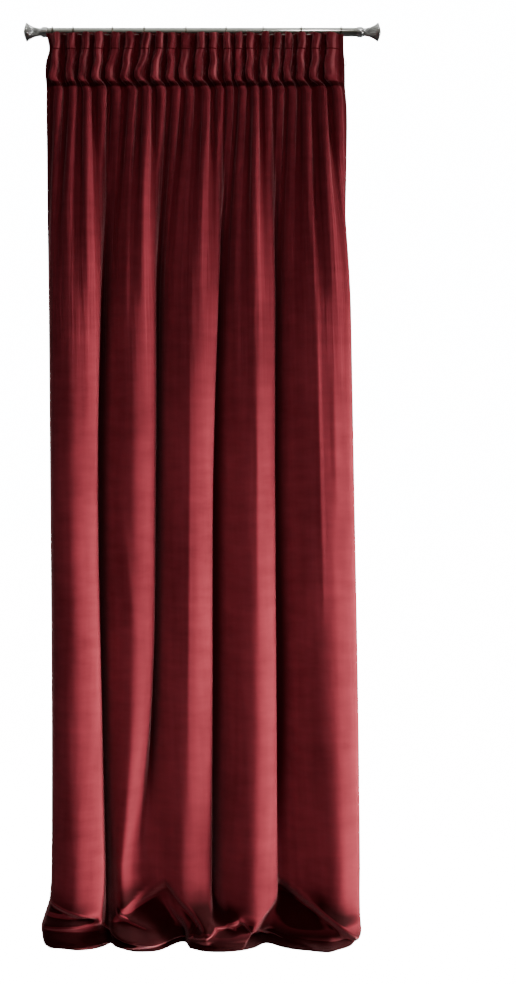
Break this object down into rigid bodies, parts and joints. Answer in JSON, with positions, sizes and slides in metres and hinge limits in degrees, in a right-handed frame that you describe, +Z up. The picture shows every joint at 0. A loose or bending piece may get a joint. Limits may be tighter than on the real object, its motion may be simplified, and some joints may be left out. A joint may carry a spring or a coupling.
{
  "type": "velvet curtain with rod and rings",
  "caption": "Long gathered velvet curtain with a pencil-pleat heading, hung from wire rings on a straight metal rod with fluted end pieces; its hem breaks on the floor.",
  "frame": {"origin": "on the rod's axis, half way between its finials", "axes": "+X along the rod to the viewer's right, +Z up, and the room that looks at the curtain is at -Y"},
  "size_m": [1.0186, 0.1901, 2.6109],
  "materials": {
    "velvet": "dark red cotton-look velvet with a soft short pile",
    "tape": "off-white woven gathering tape",
    "steel": "satin",
    "finial": "satin-bright plating",
    "ring": "bright wire"
  },
  "bodies": {
    "root": {"curtain_panel": "velvet", "heading_tape": "tape", "rod": "steel", "finial_left": "finial", "finial_right": "finial", "ring_1": "ring", "hook_1": "ring", "ring_2": "ring", "hook_2": "ring", "ring_3": "ring", "hook_3": "ring", "ring_4": "ring", "hook_4": "ring", "ring_5": "ring", "hook_5": "ring", "ring_6": "ring", "hook_6": "ring", "ring_7": "ring", "hook_7": "ring", "ring_8": "ring", "hook_8": "ring", "ring_9": "ring", "hook_9": "ring"}
  },
  "joints": []
}
